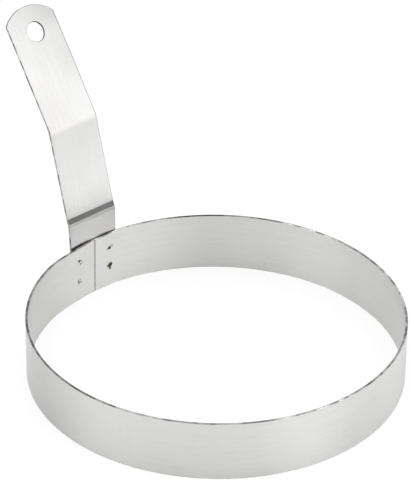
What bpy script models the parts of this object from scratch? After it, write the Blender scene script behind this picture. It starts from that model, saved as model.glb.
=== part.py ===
"""Egg ring with a folded strip handle.

The band is a strip of sheet steel rolled into a ring, with its ends meeting in an open butt seam. The
handle is a second strip: its foot is curled to lie on the outside of the band over the seam, and four
spot welds through both sheets hold it there. Both strips are made as sheet metal is made. A flat blank
is cut with its holes and rounded edges, scored across where it is to bend, and then rolled or folded.

Metres, +Z up. The ring stands on its lower edge at z = 0 and the handle rises on its -X side. The
origin is the middle of the whole part's footprint.
"""

import math

import bmesh
import bpy

# Band
RING_DIAMETER = 0.1524
RING_HEIGHT = 0.0254
BAND_THICKNESS = 0.00095
BAND_EDGE_RADIUS = 0.0002
SEAM_GAP = 0.0004

# Handle blank
HANDLE_WIDTH = 0.0246
HANDLE_THICKNESS = 0.00095
HANDLE_EDGE_RADIUS = 0.0002
FOOT_HEIGHT = 0.0032
FOOT_CORNER_RADIUS = 0.002
END_CROWN = 0.0053
END_CORNER_RADIUS = 0.002
HANGING_HOLE_DIAMETER = 0.0084
HANGING_HOLE_SETBACK = 0.0112

# Handle folds from the rim up: flat lengths, inside radii, and outward leans from the vertical
SEAT_GAP = 0.0003
CURL_RELEASE = 0.005
NECK_LENGTH = 0.0079
SHOULDER_BEND_RADIUS = 0.0075
SHOULDER_LEAN = math.radians(22.5)
SHOULDER_LENGTH = 0.0017
CREASE_RADIUS = 0.0004
SHANK_LEAN = math.radians(16)
SHANK_LENGTH = 0.0383
GRIP_BEND_RADIUS = 0.0012
GRIP_LEAN = math.radians(35.2)
GRIP_LENGTH = 0.0509

# Spot welds: each place is its shares of half the handle's width across and of the band's height down
WELD_FACE_DIAMETER = 0.0014
WELD_WAIST_DIAMETER = 0.0016
WELD_CLEARANCE = 0.0003
WELD_RECESS = 0.0001
WELD_DISH = 0.00012
WELD_PLACE_SHARES = {
    "upper_left": (-0.68, 0.31),
    "lower_left": (-0.74, 0.66),
    "upper_right": (0.60, 0.28),
    "lower_right": (0.62, 0.615),
}

# Facets
BAND_STEPS = 144
EDGE_STEPS = 2
CORNER_STEPS = 6
CROWN_STEPS = 24
HANGING_HOLE_STEPS = 48
WELD_HOLE_STEPS = 20
CURL_STEPS = 6
CURL_COLUMNS = 10
SHOULDER_STEPS = 6
CREASE_STEPS = 2
GRIP_BEND_STEPS = 4
WELD_STEPS = 20
BARREL_STEPS = 6
DISH_STEPS = 3
MERGE_DISTANCE = 0.000002
SHARP_ANGLE = math.radians(35)

# Sizes that follow from those above
RING_RADIUS = RING_DIAMETER / 2
BAND_RADIUS = RING_RADIUS - BAND_THICKNESS / 2
HALF_SHEET = HANDLE_THICKNESS / 2
SEAT_RADIUS = RING_RADIUS + SEAT_GAP + HALF_SHEET
HALF_WIDTH = HANDLE_WIDTH / 2
WELD_HOLE_RADIUS = WELD_WAIST_DIAMETER / 2 + WELD_CLEARANCE

STEEL = (0.62, 0.62, 0.60, 1)
WELD_STEEL = (0.20, 0.16, 0.13, 1)


def remove_old_objects():
    """Empty the scene, so that the part stands in it alone."""
    for old in list(bpy.data.objects):
        bpy.data.objects.remove(old, do_unlink=True)


def metal(name, colour, roughness):
    """A metal finish."""
    material = bpy.data.materials.new(name)
    material.use_nodes = True
    shader = material.node_tree.nodes["Principled BSDF"]
    shader.inputs["Base Color"].default_value = colour
    shader.inputs["Metallic"].default_value = 1
    shader.inputs["Roughness"].default_value = roughness
    material.diffuse_color = colour
    return material


def arc(centre, radius, start, end, steps):
    """Points along an arc, both ends included."""
    angles = [start + (end - start) * step / steps for step in range(steps + 1)]
    return [(centre[0] + radius * math.cos(a), centre[1] + radius * math.sin(a)) for a in angles]


def round_hole(centre, radius, steps):
    """The outline of a hole, as a function of how far it is set back into the sheet."""
    def outline(inset):
        return arc(centre, radius + inset, 0, math.tau, steps)[:-1]
    return outline


def edge_profile(thickness, radius):
    """Inset and level of a sheet's rounded edge, from its lower face to its upper face."""
    turns = [math.pi / 2 * step / EDGE_STEPS for step in range(EDGE_STEPS + 1)]
    lower = [(radius * (1 - math.sin(t)), radius * (1 - math.cos(t)) - thickness / 2) for t in turns]
    upper = [(inset, -level) for inset, level in reversed(lower)]
    return lower + upper


def closed_loop(bm, points, level):
    """A closed chain of edges through the points, all at one level."""
    verts = [bm.verts.new((x, y, level)) for x, y in points]
    return [bm.edges.new((verts[i - 1], verts[i])) for i in range(len(verts))]


def flat_blank(outlines, thickness, edge_radius):
    """A closed flat sheet. The first outline is its rim and the others are its holes."""
    bm = bmesh.new()
    faces = ([], [])
    for outline in outlines:
        loops = [closed_loop(bm, outline(inset), level)
                 for inset, level in edge_profile(thickness, edge_radius)]
        for lower, upper in zip(loops, loops[1:]):
            bmesh.ops.bridge_loops(bm, edges=lower + upper)
        faces[0].extend(loops[0])
        faces[1].extend(loops[-1])
    for edges in faces:
        bmesh.ops.triangle_fill(bm, use_beauty=True, use_dissolve=False, edges=edges)
    bmesh.ops.recalc_face_normals(bm, faces=bm.faces[:])
    return bm


def score(bm, positions, direction, faces_of=None):
    """Cut the sheet's faces along lines square to the direction, where it is to bend."""
    for position in positions:
        faces = faces_of(bm) if faces_of else bm.faces[:]
        edges = {edge for face in faces for edge in face.edges}
        verts = {vert for face in faces for vert in face.verts}
        bmesh.ops.bisect_plane(
            bm,
            geom=list(verts) + list(edges) + list(faces),
            dist=MERGE_DISTANCE,
            plane_co=[position * share for share in direction],
            plane_no=direction,
        )


def form(bm, place):
    """Move each point of the flat blank to its place on the formed sheet."""
    for vert in bm.verts:
        vert.co = place(*vert.co)


def band_outline(inset):
    """The band's flat strip: its length along x and its height along y."""
    half_length = math.pi * BAND_RADIUS - SEAM_GAP / 2 - inset
    return [
        (-half_length, inset),
        (half_length, inset),
        (half_length, RING_HEIGHT - inset),
        (-half_length, RING_HEIGHT - inset),
    ]


def weld_angle(place):
    """A weld's angle about the ring's axis, from the handle's middle towards +Y."""
    return place[0] * HALF_WIDTH / SEAT_RADIUS


def weld_height(place):
    """A weld's height above the ring's lower edge."""
    return RING_HEIGHT - place[1] * RING_HEIGHT


def band_holes():
    """The weld holes in the band's flat strip, near its two ends."""
    holes = []
    for place in WELD_PLACE_SHARES.values():
        angle = weld_angle(place)
        from_middle = math.copysign(math.pi - abs(angle), angle) * BAND_RADIUS
        holes.append(round_hole((from_middle, weld_height(place)), WELD_HOLE_RADIUS, WELD_HOLE_STEPS))
    return holes


def rolled(along, up, through):
    """A point of the band's strip after rolling."""
    angle = along / BAND_RADIUS
    radius = BAND_RADIUS + through
    return radius * math.cos(angle), radius * math.sin(angle), up


def ring_band():
    """The rolled band, with its butt seam on the -X side."""
    bm = flat_blank([band_outline] + band_holes(), BAND_THICKNESS, BAND_EDGE_RADIUS)
    step = math.tau * BAND_RADIUS / BAND_STEPS
    columns = [step * (count - BAND_STEPS / 2) for count in range(1, BAND_STEPS)]
    score(bm, columns, (1, 0, 0))
    form(bm, rolled)
    return bm


def bend(inside_radius, turn, steps):
    """A bend's length on the middle of the sheet, its turn, and its facets."""
    return abs(turn) * (inside_radius + HALF_SHEET), turn, steps


def handle_runs():
    """The handle's flats and bends from its foot up: length, outward turn, and facets."""
    return [
        (RING_HEIGHT - FOOT_HEIGHT + NECK_LENGTH, 0, 1),
        bend(SHOULDER_BEND_RADIUS, SHOULDER_LEAN, SHOULDER_STEPS),
        (SHOULDER_LENGTH, 0, 1),
        bend(CREASE_RADIUS, SHANK_LEAN - SHOULDER_LEAN, CREASE_STEPS),
        (SHANK_LENGTH, 0, 1),
        bend(GRIP_BEND_RADIUS, GRIP_LEAN - SHANK_LEAN, GRIP_BEND_STEPS),
        (GRIP_LENGTH, 0, 1),
    ]


def handle_length():
    """The length of the handle's flat blank."""
    return sum(length for length, turn, steps in handle_runs())


def handle_outline(inset):
    """The handle's flat blank: its length along x from the foot, and its width across y."""
    side = HALF_WIDTH - inset
    crown_radius = (HALF_WIDTH ** 2 + END_CROWN ** 2) / (2 * END_CROWN)
    crown_centre = handle_length() - crown_radius
    corner_across = HALF_WIDTH - END_CORNER_RADIUS
    corner_along = math.sqrt((crown_radius - END_CORNER_RADIUS) ** 2 - corner_across ** 2)
    corner_turn = math.atan2(corner_across, corner_along)
    foot_across = HALF_WIDTH - FOOT_CORNER_RADIUS
    foot_round = FOOT_CORNER_RADIUS - inset
    end_round = END_CORNER_RADIUS - inset
    quarter = math.pi / 2

    lower_foot = arc((FOOT_CORNER_RADIUS, -foot_across), foot_round, 2 * quarter, 3 * quarter, CORNER_STEPS)
    lower_end = arc((crown_centre + corner_along, -corner_across), end_round,
                    -quarter, -corner_turn, CORNER_STEPS)
    crown = arc((crown_centre, 0), crown_radius - inset, -corner_turn, corner_turn, CROWN_STEPS)
    half = lower_foot + lower_end + crown[1:CROWN_STEPS // 2]
    other_half = [(x, -y) for x, y in reversed(half)]
    return half + [(handle_length() - inset, 0)] + other_half


def handle_holes():
    """The hanging hole and the weld holes in the handle's flat blank."""
    hanging_place = (handle_length() - HANGING_HOLE_SETBACK, 0)
    holes = [round_hole(hanging_place, HANGING_HOLE_DIAMETER / 2, HANGING_HOLE_STEPS)]
    for place in WELD_PLACE_SHARES.values():
        centre = (weld_height(place) - FOOT_HEIGHT, weld_angle(place) * SEAT_RADIUS)
        holes.append(round_hole(centre, WELD_HOLE_RADIUS, WELD_HOLE_STEPS))
    return holes


def fold_lines():
    """Where the handle's blank is scored across: the ends and steps of each bend."""
    lines = []
    start = 0
    for length, turn, steps in handle_runs():
        lines += [start + length * step / steps for step in range(steps)]
        start += length
    return lines[1:]


def folded(distance):
    """Outward and upward place of the sheet's middle, and its lean, at a distance from the foot."""
    outward, up, lean = SEAT_RADIUS, FOOT_HEIGHT, 0
    runs = handle_runs()
    for index, (length, turn, steps) in enumerate(runs):
        travelled = distance if index == len(runs) - 1 else min(distance, length)
        if turn:
            radius = length / turn
            new_lean = lean + travelled / radius
            outward += radius * (math.cos(lean) - math.cos(new_lean))
            up += radius * (math.sin(new_lean) - math.sin(lean))
            lean = new_lean
        else:
            outward += travelled * math.sin(lean)
            up += travelled * math.cos(lean)
        distance -= travelled
    return outward, up, lean


def curl(up):
    """Curl of the handle across its width: the band's below the rim, easing to flat at the rim."""
    share = min(max((RING_HEIGHT - up) / CURL_RELEASE, 0), 1)
    return share * share * (3 - 2 * share) / SEAT_RADIUS


def folded_sheet(along, across, through):
    """A point of the handle's blank after folding and curling."""
    outward, up, lean = folded(along)
    outward += through * math.cos(lean)
    up -= through * math.sin(lean)
    bow = curl(up)
    side = across
    if bow:
        turn = across * bow
        outward += math.cos(turn) * (1 / bow + through) - (1 / bow + through)
        side = math.sin(turn) * (1 / bow + through)
    return -outward, side, up


def faces_below_rim(bm):
    """The faces of the handle's flat blank that lie on the band."""
    rim = RING_HEIGHT - FOOT_HEIGHT + MERGE_DISTANCE
    return [face for face in bm.faces if max(vert.co.x for vert in face.verts) <= rim]


def handle():
    """The folded strip handle."""
    bm = flat_blank([handle_outline] + handle_holes(), HANDLE_THICKNESS, HANDLE_EDGE_RADIUS)
    rim = RING_HEIGHT - FOOT_HEIGHT
    release_lines = [rim - CURL_RELEASE * step / CURL_STEPS for step in range(CURL_STEPS + 1)]
    score(bm, release_lines + fold_lines(), (1, 0, 0))
    column = HANDLE_WIDTH / CURL_COLUMNS
    columns = [column * (count - CURL_COLUMNS / 2) for count in range(1, CURL_COLUMNS)]
    score(bm, columns, (0, 1, 0), faces_below_rim)
    form(bm, folded_sheet)
    return bm


def weld_profile():
    """Half the weld's section: distance along its axis from the band's outside, and radius."""
    inner = WELD_RECESS - BAND_THICKNESS
    outer = SEAT_GAP + HANDLE_THICKNESS - WELD_RECESS
    face_radius = WELD_FACE_DIAMETER / 2
    swell = (WELD_WAIST_DIAMETER - WELD_FACE_DIAMETER) / 2
    dish = []
    for step in range(DISH_STEPS):
        share = step / DISH_STEPS
        dish.append((WELD_DISH * (1 - share ** 2), face_radius * share))
    barrel = []
    for step in range(BARREL_STEPS + 1):
        share = step / BARREL_STEPS
        barrel.append((inner + (outer - inner) * share, face_radius + swell * math.sin(math.pi * share)))
    inner_dish = [(inner + depth, radius) for depth, radius in dish]
    outer_dish = [(outer - depth, radius) for depth, radius in reversed(dish)]
    return inner_dish + barrel + outer_dish


def spot_weld():
    """A weld nugget, turned about x: dished at both faces and widest between the sheets."""
    bm = bmesh.new()
    verts = [bm.verts.new((along, radius, 0)) for along, radius in weld_profile()]
    edges = [bm.edges.new(pair) for pair in zip(verts, verts[1:])]
    bmesh.ops.spin(bm, geom=verts + edges, cent=(0, 0, 0), axis=(1, 0, 0), angle=math.tau,
                   steps=WELD_STEPS, use_merge=True)
    bmesh.ops.remove_doubles(bm, verts=bm.verts[:], dist=MERGE_DISTANCE)
    bmesh.ops.recalc_face_normals(bm, faces=bm.faces[:])
    return bm


def mesh_from(name, bm, material):
    """A smooth-shaded mesh with crisp folds."""
    mesh = bpy.data.meshes.new(name)
    bm.to_mesh(mesh)
    bm.free()
    mesh.materials.append(material)
    mesh.shade_smooth()
    mesh.set_sharp_from_angle(angle=SHARP_ANGLE)
    return mesh


def add_piece(name, mesh, parent, location=(0, 0, 0), turn=0):
    """One named piece on the ring's axis frame."""
    piece = bpy.data.objects.new(name, mesh)
    bpy.context.scene.collection.objects.link(piece)
    piece.parent = parent
    piece.location = location
    piece.rotation_euler = (0, 0, turn)
    return piece


def ring_axis():
    """An empty on the ring's axis, set so that the whole part is centred on the origin."""
    outward, up, lean = folded(handle_length() - HANDLE_EDGE_RADIUS)
    reach = outward + (HALF_SHEET - HANDLE_EDGE_RADIUS) * math.cos(lean) + HANDLE_EDGE_RADIUS
    axis = bpy.data.objects.new("ring_axis", None)
    bpy.context.scene.collection.objects.link(axis)
    axis.location = ((reach - RING_RADIUS) / 2, 0, 0)
    return axis


def build():
    """Make every piece of the egg ring."""
    remove_old_objects()
    axis = ring_axis()
    add_piece("ring_band", mesh_from("ring_band", ring_band(), metal("band steel", STEEL, 0.35)), axis)
    add_piece("handle", mesh_from("handle", handle(), metal("handle steel", STEEL, 0.35)), axis)
    weld_mesh = mesh_from("spot_weld", spot_weld(), metal("weld steel", WELD_STEEL, 0.6))
    for name, place in WELD_PLACE_SHARES.items():
        turn = math.pi - weld_angle(place)
        location = (RING_RADIUS * math.cos(turn), RING_RADIUS * math.sin(turn), weld_height(place))
        add_piece("spot_weld_" + name, weld_mesh, axis, location, turn)
    bpy.context.view_layer.update()


build()
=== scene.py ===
"""Egg ring of sheet steel with a folded strip handle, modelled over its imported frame.

Metres, +Z up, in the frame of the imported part: the ring stands on its lower edge at z = 0, its axis is
upright, and the handle rises on its -X side over the band's butt seam. The file is laid out as an
add-on: sizes and colours are property groups, and each piece, or group of like pieces, has an operator.
"""

import math

import bpy
from mathutils import Matrix, Vector, noise


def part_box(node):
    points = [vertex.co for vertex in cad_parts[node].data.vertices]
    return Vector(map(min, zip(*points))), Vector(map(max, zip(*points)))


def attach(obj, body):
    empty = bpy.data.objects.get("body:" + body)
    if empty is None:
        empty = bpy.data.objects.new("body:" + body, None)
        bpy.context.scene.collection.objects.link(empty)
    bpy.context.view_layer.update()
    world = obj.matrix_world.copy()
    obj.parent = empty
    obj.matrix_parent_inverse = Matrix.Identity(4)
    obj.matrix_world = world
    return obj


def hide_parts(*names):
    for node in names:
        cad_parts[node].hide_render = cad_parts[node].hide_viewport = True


bl_info = {
    "name": "Egg Ring",
    "version": (1, 0, 0),
    "blender": (4, 5, 0),
    "location": "View3D > Sidebar > Egg Ring",
    "description": "Models a sheet steel egg ring with a spot-welded strip handle",
    "category": "Add Mesh",
}

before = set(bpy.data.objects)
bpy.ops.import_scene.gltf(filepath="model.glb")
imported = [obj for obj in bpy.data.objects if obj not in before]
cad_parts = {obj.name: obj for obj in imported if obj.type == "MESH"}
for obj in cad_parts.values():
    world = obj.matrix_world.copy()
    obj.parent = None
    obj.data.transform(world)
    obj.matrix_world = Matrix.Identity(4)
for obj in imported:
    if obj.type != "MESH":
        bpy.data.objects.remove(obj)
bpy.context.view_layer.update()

BODY = "root"
BAND_LOW, BAND_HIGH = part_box("ring_band")
HANDLE_LOW, HANDLE_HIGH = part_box("handle")
RING_RADIUS = (BAND_HIGH.y - BAND_LOW.y) / 2
RING_AXIS = Vector((BAND_HIGH.x - RING_RADIUS, 0, 0))
WELDS = ("upper_left", "lower_left", "upper_right", "lower_right")

ACROSS = Vector((0, 1, 0))
UP = Vector((0, 0, 1))


# Sizes and colours


class BandSizes(bpy.types.PropertyGroup):
    """Sizes of the rolled band."""

    diameter: bpy.props.FloatProperty(
        name="Diameter", description="Outside diameter of the ring",
        default=2 * RING_RADIUS, precision=5, unit="LENGTH")
    height: bpy.props.FloatProperty(
        name="Height", description="Height of the band",
        default=BAND_HIGH.z - BAND_LOW.z, precision=5, unit="LENGTH")
    thickness: bpy.props.FloatProperty(
        name="Thickness", description="Thickness of the sheet",
        default=0.00095, precision=5, unit="LENGTH")
    edge_radius: bpy.props.FloatProperty(
        name="Edge radius", description="Rounding of the sheared rims",
        default=0.0002, precision=5, unit="LENGTH")
    seam_gap: bpy.props.FloatProperty(
        name="Seam gap", description="Gap between the ends of the strip under the handle",
        default=0.00025, precision=5, unit="LENGTH")
    seam_side: bpy.props.FloatProperty(
        name="Seam side", description="How far the seam lies to the left of the ring's middle plane",
        default=0.00045, precision=5, unit="LENGTH")
    left_pull: bpy.props.FloatProperty(
        name="Left pull", description="How far the strip's left end lies inside the circle, at the rim",
        default=0.00098, precision=5, unit="LENGTH")
    right_pull: bpy.props.FloatProperty(
        name="Right pull", description="How far the strip's right end lies inside the circle, at the rim",
        default=0.00072, precision=5, unit="LENGTH")
    ripple: bpy.props.FloatProperty(
        name="Ripple", description="Depth of the shallow waves that rolling leaves in the sheet",
        default=0.00006, precision=6, unit="LENGTH")
    nick: bpy.props.FloatProperty(
        name="Nick", description="Unevenness of the sheared upper rim",
        default=0.00004, precision=6, unit="LENGTH")
    dish_radius: bpy.props.FloatProperty(
        name="Dish radius", description="Radius of the shallow dish at each weld",
        default=0.0018, precision=5, unit="LENGTH")
    dish_depth: bpy.props.FloatProperty(
        name="Dish depth", description="Depth of the shallow dish at each weld",
        default=0.00014, precision=5, unit="LENGTH")


class HandleSizes(bpy.types.PropertyGroup):
    """Sizes of the folded handle, from its foot up."""

    width: bpy.props.FloatProperty(
        name="Width", description="Width of the strip", default=0.0246, precision=5, unit="LENGTH")
    thickness: bpy.props.FloatProperty(
        name="Thickness", description="Thickness of the sheet", default=0.00095, precision=5, unit="LENGTH")
    edge_radius: bpy.props.FloatProperty(
        name="Edge radius", description="Rounding of the strip's edges",
        default=0.0002, precision=5, unit="LENGTH")
    foot_inset: bpy.props.FloatProperty(
        name="Foot inset",
        description="How far inside the ring's round the middle of the foot's sheet lies",
        default=0.00007, precision=5, unit="LENGTH")
    foot_side: bpy.props.FloatProperty(
        name="Foot side", description="How far the foot stands to the left of the seam",
        default=0.0007, precision=5, unit="LENGTH")
    foot_curl: bpy.props.FloatProperty(
        name="Foot curl", description="How far the foot's left side curls forward round the band",
        default=0.0008, precision=5, unit="LENGTH")
    foot_back: bpy.props.FloatProperty(
        name="Foot back", description="How far the middle of the foot stands back", default=0.0001,
        precision=5, unit="LENGTH")
    foot_tilt: bpy.props.FloatProperty(
        name="Foot tilt", description="Lean of the foot towards the ring", default=math.radians(0.5),
        unit="ROTATION")
    foot_height: bpy.props.FloatProperty(
        name="Foot height", description="Height of the foot's lower edge above the ring's lower edge",
        default=HANDLE_LOW.z, precision=5, unit="LENGTH")
    corner_radius: bpy.props.FloatProperty(
        name="Corner radius", description="Rounding of the corners at both ends of the strip",
        default=0.002, precision=5, unit="LENGTH")
    neck_lean: bpy.props.FloatProperty(
        name="Neck lean", description="Outward lean of the neck above the rim",
        default=math.radians(5.7), unit="ROTATION")
    neck_length: bpy.props.FloatProperty(
        name="Neck length", description="Length from the rim to the shoulder", default=0.0086, precision=5,
        unit="LENGTH")
    shoulder_radius: bpy.props.FloatProperty(
        name="Shoulder radius", description="Inside radius of the bend from the neck to the shoulder",
        default=0.007, precision=5, unit="LENGTH")
    shoulder_lean: bpy.props.FloatProperty(
        name="Shoulder lean", description="Outward lean of the shoulder",
        default=math.radians(22.5), unit="ROTATION")
    shoulder_length: bpy.props.FloatProperty(
        name="Shoulder length", description="Flat length of the shoulder", default=0.0018, precision=5,
        unit="LENGTH")
    crease_radius: bpy.props.FloatProperty(
        name="Crease radius", description="Inside radius of the crease between shoulder and shank",
        default=0.0004, precision=5, unit="LENGTH")
    shank_lean: bpy.props.FloatProperty(
        name="Shank lean", description="Outward lean of the shank",
        default=math.radians(16), unit="ROTATION")
    shank_length: bpy.props.FloatProperty(
        name="Shank length", description="Flat length of the shank", default=0.03846, precision=5,
        unit="LENGTH")
    curl: bpy.props.FloatProperty(
        name="Curl", description="Small curl of the sheet beside the crease and the grip fold",
        default=math.radians(1.5), unit="ROTATION")
    curl_length: bpy.props.FloatProperty(
        name="Curl length", description="Length of each small curl", default=0.0024, precision=5,
        unit="LENGTH")
    grip_lean: bpy.props.FloatProperty(
        name="Grip lean", description="Outward lean of the grip",
        default=math.radians(35.0), unit="ROTATION")
    grip_length: bpy.props.FloatProperty(
        name="Grip length", description="Flat length of the grip, to the top of its crowned end",
        default=0.05106, precision=5, unit="LENGTH")
    end_roll: bpy.props.FloatProperty(
        name="End roll", description="How far the grip's end and right edge roll back from the flat",
        default=0.0004, precision=5, unit="LENGTH")
    crown: bpy.props.FloatProperty(
        name="Crown", description="Rise of the crowned end", default=0.0053, precision=5, unit="LENGTH")
    hole_diameter: bpy.props.FloatProperty(
        name="Hole diameter", description="Diameter of the hanging hole", default=0.0084, precision=5,
        unit="LENGTH")
    hole_setback: bpy.props.FloatProperty(
        name="Hole setback", description="Distance from the top of the crown to the hole's middle",
        default=0.0112, precision=5, unit="LENGTH")
    mark_radius: bpy.props.FloatProperty(
        name="Mark radius", description="Radius of the electrode's round mark on the back at each weld",
        default=0.0021, precision=5, unit="LENGTH")
    mark_depth: bpy.props.FloatProperty(
        name="Mark depth", description="Depth of the electrode's round mark on the back at each weld",
        default=0.00012, precision=5, unit="LENGTH")


class WeldSizes(bpy.types.PropertyGroup):
    """Sizes of the spot welds."""

    barrel_radius: bpy.props.FloatProperty(
        name="Barrel radius", description="Radius of the melted barrel through both sheets",
        default=0.0007, precision=5, unit="LENGTH")
    scar_rise: bpy.props.FloatProperty(
        name="Scar rise", description="Half the thickness of the burnt scar on the inside of the band",
        default=0.00011, precision=5, unit="LENGTH")
    back_radius: bpy.props.FloatProperty(
        name="Back radius", description="Radius of the weld's face on the back of the handle",
        default=0.0012, precision=5, unit="LENGTH")
    grain: bpy.props.FloatProperty(
        name="Grain", description="Size of the smallest lump that the scars keep",
        default=0.00004, precision=6, unit="LENGTH")


class SteelColours(bpy.types.PropertyGroup):
    """Colours of the finishes."""

    band: bpy.props.FloatVectorProperty(
        name="Band", description="Satin sheet of the band", subtype="COLOR", size=3,
        default=(0.80, 0.795, 0.77), min=0, max=1)
    handle: bpy.props.FloatVectorProperty(
        name="Handle", description="Satin sheet of the handle", subtype="COLOR", size=3,
        default=(0.738, 0.73, 0.71), min=0, max=1)
    band_edge: bpy.props.FloatVectorProperty(
        name="Band edge", description="Rough metal of the band's sheared rims and ends", subtype="COLOR",
        size=3, default=(0.68, 0.665, 0.64), min=0, max=1)
    handle_edge: bpy.props.FloatVectorProperty(
        name="Handle edge", description="Eased edge of the handle and its hole", subtype="COLOR", size=3,
        default=(0.52, 0.51, 0.5), min=0, max=1)


class StageSettings(bpy.types.PropertyGroup):
    """Floor, light and camera."""

    floor_radius: bpy.props.FloatProperty(
        name="Floor radius", description="Radius of the pale floor", default=0.3, unit="LENGTH")
    sky_strength: bpy.props.FloatProperty(
        name="Sky strength", description="Strength of the white surroundings", default=1.0)
    right_power: bpy.props.FloatProperty(
        name="Right lamp", description="Power of the soft box on the right", default=1.35, unit="POWER")
    left_power: bpy.props.FloatProperty(
        name="Left lamp", description="Power of the soft box on the left", default=1.0, unit="POWER")
    camera_azimuth: bpy.props.FloatProperty(
        name="Camera azimuth", description="Turn of the camera about the ring, from looking along +Y",
        default=math.radians(47.29), unit="ROTATION")
    camera_elevation: bpy.props.FloatProperty(
        name="Camera elevation", description="Height of the camera above the horizon",
        default=0.597328941, unit="ROTATION")
    camera_distance: bpy.props.FloatProperty(
        name="Camera distance", description="Distance from the ring's middle", default=1.15604,
        precision=5, unit="LENGTH")
    camera_aim: bpy.props.FloatVectorProperty(
        name="Camera aim", description="Small turns of the camera off the ring's middle: yaw, pitch, roll",
        size=3, default=(0.00429076363, 0.0439740792, -0.0153160538), unit="ROTATION")
    focal_share: bpy.props.FloatProperty(
        name="Focal share", description="Focal length as a share of the picture's height",
        default=2864.85356 / 480)


# Modelling helpers


def deselect():
    """Leave nothing selected, outside edit mode."""
    if bpy.context.object and bpy.context.object.mode != "OBJECT":
        bpy.ops.object.mode_set(mode="OBJECT")
    bpy.ops.object.select_all(action="DESELECT")


def name_new(name):
    """Name the object that was just added."""
    piece = bpy.context.object
    piece.name = piece.data.name = name
    return piece


def choose(piece, kind, wanted):
    """In edit mode, select the verts, edges or faces that the test accepts."""
    bpy.ops.object.mode_set(mode="OBJECT")
    mesh = piece.data
    for group in (mesh.vertices, mesh.edges, mesh.polygons):
        group.foreach_set("select", [False] * len(group))
    group = {"VERT": mesh.vertices, "EDGE": mesh.edges, "FACE": mesh.polygons}[kind]
    group.foreach_set("select", [bool(wanted(item)) for item in group])
    bpy.context.tool_settings.mesh_select_mode = (kind == "VERT", kind == "EDGE", kind == "FACE")
    bpy.ops.object.mode_set(mode="EDIT")


def spin(steps, turn, centre, axis):
    """Spin what is selected about an axis, counterclockwise, which is against the operator's own turn."""
    bpy.ops.mesh.spin(steps=steps, angle=-turn, center=centre, axis=axis)


def ends_of(piece, edge):
    """The places of an edge's two ends."""
    return [piece.data.vertices[index].co for index in edge.vertices]


def middle_of(piece, edge):
    """The place of an edge's middle."""
    first, second = ends_of(piece, edge)
    return (first + second) / 2


def rise_of(piece, edge):
    """How much higher one end of an edge is than the other."""
    first, second = ends_of(piece, edge)
    return abs((first - second).z)


def finish_modifier(piece, kind, **settings):
    """Add a modifier to the piece and apply it."""
    deselect()
    piece.select_set(True)
    bpy.context.view_layer.objects.active = piece
    modifier = piece.modifiers.new(kind.title(), kind)
    for name, value in settings.items():
        setattr(modifier, name, value)
    bpy.ops.object.modifier_apply(modifier=modifier.name)


def smooth(piece, angle):
    """Smooth shading that keeps folds sharper than the angle, with flats that stay flat."""
    deselect()
    piece.select_set(True)
    bpy.context.view_layer.objects.active = piece
    bpy.ops.object.shade_smooth_by_angle(angle=angle)
    finish_modifier(piece, "WEIGHTED_NORMAL", keep_sharp=True)


def paint(piece, name, share):
    """A point attribute for the finishes, with its value at each point."""
    layer = piece.data.attributes.new(name, "FLOAT", "POINT")
    for vert, value in zip(piece.data.vertices, layer.data):
        value.value = share(vert.co)


def grain_map(piece, place):
    """A UV map in metres: along the grain of the sheet, and across it."""
    layer = piece.data.uv_layers.new(name="grain")
    verts = piece.data.vertices
    for corner, value in zip(piece.data.loops, layer.data):
        value.uv = place(verts[corner.vertex_index].co)


def around(point):
    """A point's angle about the ring's axis and its distance from it."""
    flat = point - RING_AXIS
    return math.atan2(flat.y, flat.x), math.hypot(flat.x, flat.y)


def weld_place(weld):
    """A spot weld's angle about the ring's axis and its height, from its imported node."""
    low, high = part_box("spot_weld_" + weld)
    middle = (low + high) / 2
    return around(middle)[0], middle.z


WELD_PLACES = {weld: weld_place(weld) for weld in WELDS}


# Band

BAND_STEPS = 480
BAND_ROWS = 14

# Lengths of the rolled waves along and up the band, and of the nicks along its upper rim, in metres.
WAVE_ALONG = 0.022
WAVE_UP = 0.05
NICK_ALONG = 0.0021

# How the strip's two ends lie inside the circle: share of its pull at the very end, length in metres over
# which this grows to the whole, distance from the end where it starts to fade, and length of the fade.
LEFT_END = (0.6, 0.008, 0.011, 0.018)
RIGHT_END = (0.86, 0.004, 0.004, 0.01)

# Share of both ends' pull that is left at the band's lower edge.
LOWER_PULL = 0.6

# Heat colour inside the band, in metres: the width of the tint beside the seam, how far the scorch lies to
# the left of and below the middle of the lower right weld, and how far it reaches.
SEAM_TINT = 0.0004
SCORCH_LEFT = 0.0008
SCORCH_BELOW = 0.0002
SCORCH_REACH = 0.0011

# How bright the sheared rim is, from its own torn and burnished wear together with painted highlights and
# painted shade where it reflects bright or dark surroundings or lies under the handle's neck: length along
# the strip in metres from the seam's left end, and its brightness beside the inside and beside the outside
# of the band.
RIM_WEAR_AND_PAINTED_LIGHT = ((0.0, 0.7, 0.5), (0.013, 0.6, 0.4), (0.02, 0.7, 0.25), (0.035, 0.45, 0.25), (0.06, 0.5, 0.4),
            (0.095, 0.35, 0.35), (0.11, 0.13, 0.4), (0.126, 0.2, 0.2), (0.135, 0.4, 0.5), (0.15, 0.6, 0.7),
            (0.19, 0.5, 0.65), (0.2, 0.15, 0.2), (0.212, 0.8, 1.1), (0.236, 0.5, 1.1), (0.248, 0.15, 0.6),
            (0.26, 0.45, 0.6), (0.29, 0.5, 0.5), (0.335, 0.9, 0.8), (0.352, 0.3, 0.08), (0.362, 1.1, 0.25),
            (0.39, 1.1, 0.25), (0.4, 0.45, 0.2), (0.414, 0.6, 0.15), (0.421, 0.12, 0.02),
            (0.438, 0.12, 0.02), (0.447, 1.0, 0.4), (0.46, 1.1, 0.15), (0.468, 1.1, 0.2),
            (0.474, 1.1, 0.7), (0.48, 1.1, 0.7))
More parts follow.
